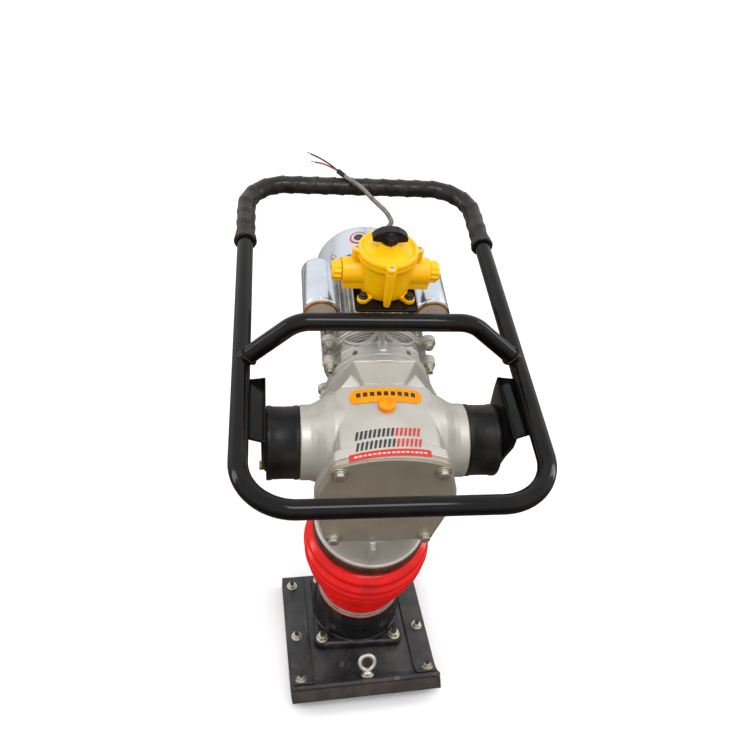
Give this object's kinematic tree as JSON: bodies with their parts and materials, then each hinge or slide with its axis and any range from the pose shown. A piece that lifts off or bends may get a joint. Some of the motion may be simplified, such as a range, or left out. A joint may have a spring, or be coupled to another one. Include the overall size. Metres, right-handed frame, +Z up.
{
  "type": "jumping jack rammer",
  "caption": "Electric jumping jack soil rammer with sprung foot, red bellows, cast gearbox, finned motor, loop handle and a yellow rotary switch.",
  "frame": {"origin": "centre line of the foot at the flat sole's ground plane, 50 mm ahead of the point where the leg axis meets the ground", "axes": "+Z up, -Y the direction of travel towards the upturned toe, +Y towards the operator's grip, +X to the right in a front view"},
  "size_m": [0.4702, 0.7951, 0.8777],
  "materials": {
    "pad": "dark scuffed polymer with a faint grain",
    "foot_steel": "satin black paint, scuffed at the edges",
    "foot_casting": "satin black paint over a rough casting",
    "zinc": "zinc plated",
    "machined_steel": "machined",
    "spring_steel": "oiled spring steel",
    "band_steel": "brushed band",
    "bellows": "glossy saturated red moulding",
    "cast_aluminium": "sand cast, silver grey",
    "motor_aluminium": "finned aluminium, dusty",
    "cowl": "silver satin paint",
    "bronze": "turned bronze",
    "stator": "laminated core with varnish",
    "capacitor_can": "bright drawn aluminium",
    "capacitor_cap": "brown cap with a golden rim",
    "black_enamel": "gloss black enamel",
    "black_paint": "satin black",
    "grip": "spirally wrapped tape",
    "mount_rubber": "moulded rubber",
    "yellow_plastic": "glossy yellow moulding",
    "orange_plastic": "orange moulding",
    "black_plastic": "black moulding",
    "cable": "grey-beige jacket"
  },
  "bodies": {
    "ram": {"sole_pad": "pad", "sole_plate": "foot_steel", "strap_left": "foot_steel", "strap_right": "foot_steel", "eye_bolt": "zinc", "base_nut_front_left": "zinc", "base_nut_front_right": "zinc", "base_nut_rear_left": "zinc", "base_nut_rear_right": "zinc", "base_casting": "foot_casting", "spring_tube": "machined_steel", "spring_tube_cap": "machined_steel", "spring_lower": "spring_steel", "bellows": "bellows", "clamp_lower": "band_steel"},
    "crankcase": {"crankcase": "cast_aluminium", "clamp_upper": "band_steel", "guide_bush": "bronze", "front_cover": "cast_aluminium", "cover_bolt_upper_left": "zinc", "cover_bolt_upper_right": "zinc", "cover_bolt_lower_left": "zinc", "cover_bolt_lower_right": "zinc", "oil_plug": "orange_plastic", "crank_bearing": "machined_steel", "motor_adapter": "cast_aluminium", "motor_body": "motor_aluminium", "stator_core": "stator", "shaft_bearing": "machined_steel", "rear_bell": "black_paint", "fan_cover": "cowl", "capacitor_left": "capacitor_can", "capacitor_right": "capacitor_can", "capacitor_cap_left": "capacitor_cap", "capacitor_cap_right": "capacitor_cap"},
    "crank": {"crank_gear": "machined_steel"},
    "piston": {"piston_rod": "machined_steel", "wrist_pin": "machined_steel", "spring_upper": "spring_steel"},
    "con_rod": {"con_rod": "machined_steel", "crank_pin": "machined_steel"},
    "rotor": {"motor_shaft": "machined_steel", "rotor_core": "stator", "cooling_fan": "black_plastic"},
    "handle": {"tube_front": "black_enamel", "tube_rear": "black_enamel", "grip_sleeve": "grip", "bridge_tube": "black_enamel", "bracket_left": "black_enamel", "bracket_right": "black_enamel", "mount_rubber_left": "mount_rubber", "mount_rubber_right": "mount_rubber", "switch_plate": "black_enamel", "switch_body": "yellow_plastic", "switch_lid": "yellow_plastic", "gland_nut_left": "yellow_plastic", "gland_nut_right": "yellow_plastic", "cord_gland": "yellow_plastic", "power_cord": "cable"},
    "knob": {"switch_knob": "black_plastic"}
  },
  "joints": [
    {"name": "ram_stroke", "type": "slide", "parent": "ram", "child": "crankcase", "axis": [0, -0.2079, 0.9781], "range_m": [-0.015, 0.045], "stiffness_N_per_m": 30000, "springref_m": 0.018, "deforming": ["bellows", "spring_lower", "spring_upper"]},
    {"name": "crank_turn", "type": "hinge", "parent": "crankcase", "child": "crank", "pos_m": [0, -0.05978, 0.51646], "axis": [0, 0.9781, 0.2079], "continuous": true},
    {"name": "rotor_turn", "type": "hinge", "parent": "crankcase", "child": "rotor", "pos_m": [0, -0.07662, 0.59569], "axis": [0, 0.9781, 0.2079], "continuous": true},
    {"name": "piston_slide", "type": "slide", "parent": "crankcase", "child": "piston", "axis": [0, -0.2079, 0.9781], "range_m": [0, 0.04]},
    {"name": "con_rod_swing", "type": "hinge", "parent": "piston", "child": "con_rod", "pos_m": [0, -0.03587, 0.40397], "axis": [0, 0.9781, 0.2079], "range_deg": [-12.2, 12.2]},
    {"name": "handle_rock", "type": "hinge", "parent": "crankcase", "child": "handle", "pos_m": [0, -0.05906, 0.5708], "axis": [1, 0, 0], "range_deg": [-4, 4], "stiffness_Nm_per_rad": 2500},
    {"name": "switch_turn", "type": "hinge", "parent": "handle", "child": "knob", "pos_m": [0.003, 0.06201, 0.85253], "axis": [0, -0.2079, 0.9781], "range_deg": [-60, 60]}
  ],
  "couplings": [
    {"joint": "rotor_turn", "follows": "crank_turn", "ratio": -4.4}
  ]
}
